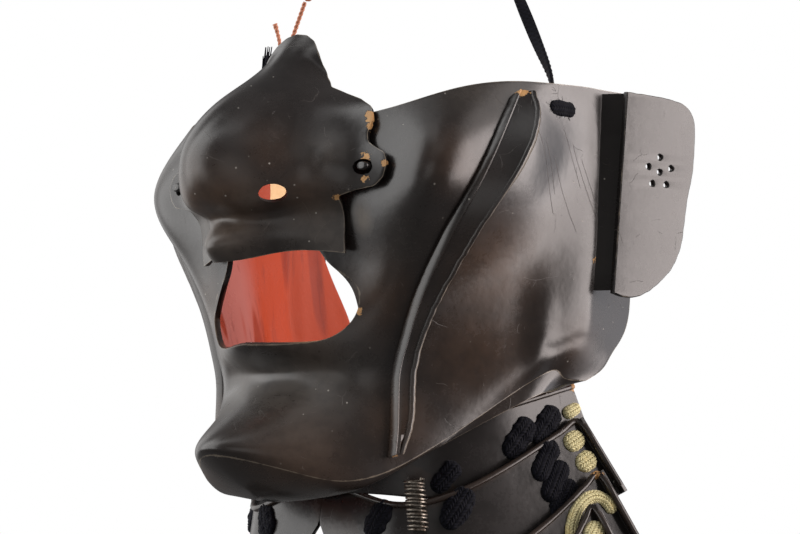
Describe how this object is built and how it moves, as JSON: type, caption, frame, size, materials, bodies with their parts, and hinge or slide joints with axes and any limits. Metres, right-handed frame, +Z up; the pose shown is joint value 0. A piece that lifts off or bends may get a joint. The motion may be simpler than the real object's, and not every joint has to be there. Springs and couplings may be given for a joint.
{
  "type": "samurai face guard",
  "caption": "Half mask of a samurai armour in black lacquer, with a loose nose piece, cord ribs, ear plates and a laced throat guard of plates.",
  "frame": {"origin": "the middle of the hollow that takes the wearer's face", "axes": "+Z up to the crown of the nose, -Y out of the front of the face, +X to the wearer's left"},
  "size_m": [0.176, 0.1514, 0.2603],
  "materials": {
    "black_lacquer": "worn glossy black lacquer, brown where thin, red inside the mask",
    "steel_wire": "dull dark iron wire",
    "navy_cord": "matt braided silk",
    "pale_cord": "matt braided silk",
    "orange_cord": "matt twisted cord"
  },
  "bodies": {
    "root": {"cord_rib_left": "black_lacquer", "cord_rib_right": "black_lacquer", "ear_plate_left": "black_lacquer", "ear_plate_right": "black_lacquer", "lacing_navy_1_left": "navy_cord", "lacing_navy_1_right": "navy_cord", "lacing_navy_2_left": "navy_cord", "lacing_navy_2_right": "navy_cord", "lacing_navy_3_left": "navy_cord", "lacing_navy_3_right": "navy_cord", "lacing_navy_4_left": "navy_cord", "lacing_navy_4_right": "navy_cord", "lacing_navy_5_left": "navy_cord", "lacing_navy_5_right": "navy_cord", "lacing_navy_6_left": "navy_cord", "lacing_navy_6_right": "navy_cord", "lacing_pale_1_left": "pale_cord", "lacing_pale_1_right": "pale_cord", "lacing_pale_2_left": "pale_cord", "lacing_pale_2_right": "pale_cord", "lacing_pale_3_left": "pale_cord", "lacing_pale_3_right": "pale_cord", "lacing_pale_4_left": "pale_cord", "lacing_pale_4_right": "pale_cord", "lacing_pale_5_left": "pale_cord", "lacing_pale_5_right": "pale_cord", "mask_shell": "black_lacquer", "navy_tail_right": "navy_cord", "nose_peg_left": "black_lacquer", "nose_peg_right": "black_lacquer", "nose_piece": "black_lacquer", "orange_tail_right": "orange_cord", "slot_braid_left": "navy_cord", "slot_braid_right": "navy_cord", "throat_lame_1": "black_lacquer", "throat_lame_2": "black_lacquer", "throat_lame_3_left": "black_lacquer", "throat_lame_3_right": "black_lacquer", "throat_lame_4_left": "black_lacquer", "throat_lame_4_right": "black_lacquer", "tie_cord_left": "navy_cord", "tie_cord_right": "orange_cord", "tie_knot_left": "navy_cord", "tie_knot_right": "orange_cord", "wire_coil": "steel_wire"}
  },
  "joints": []
}
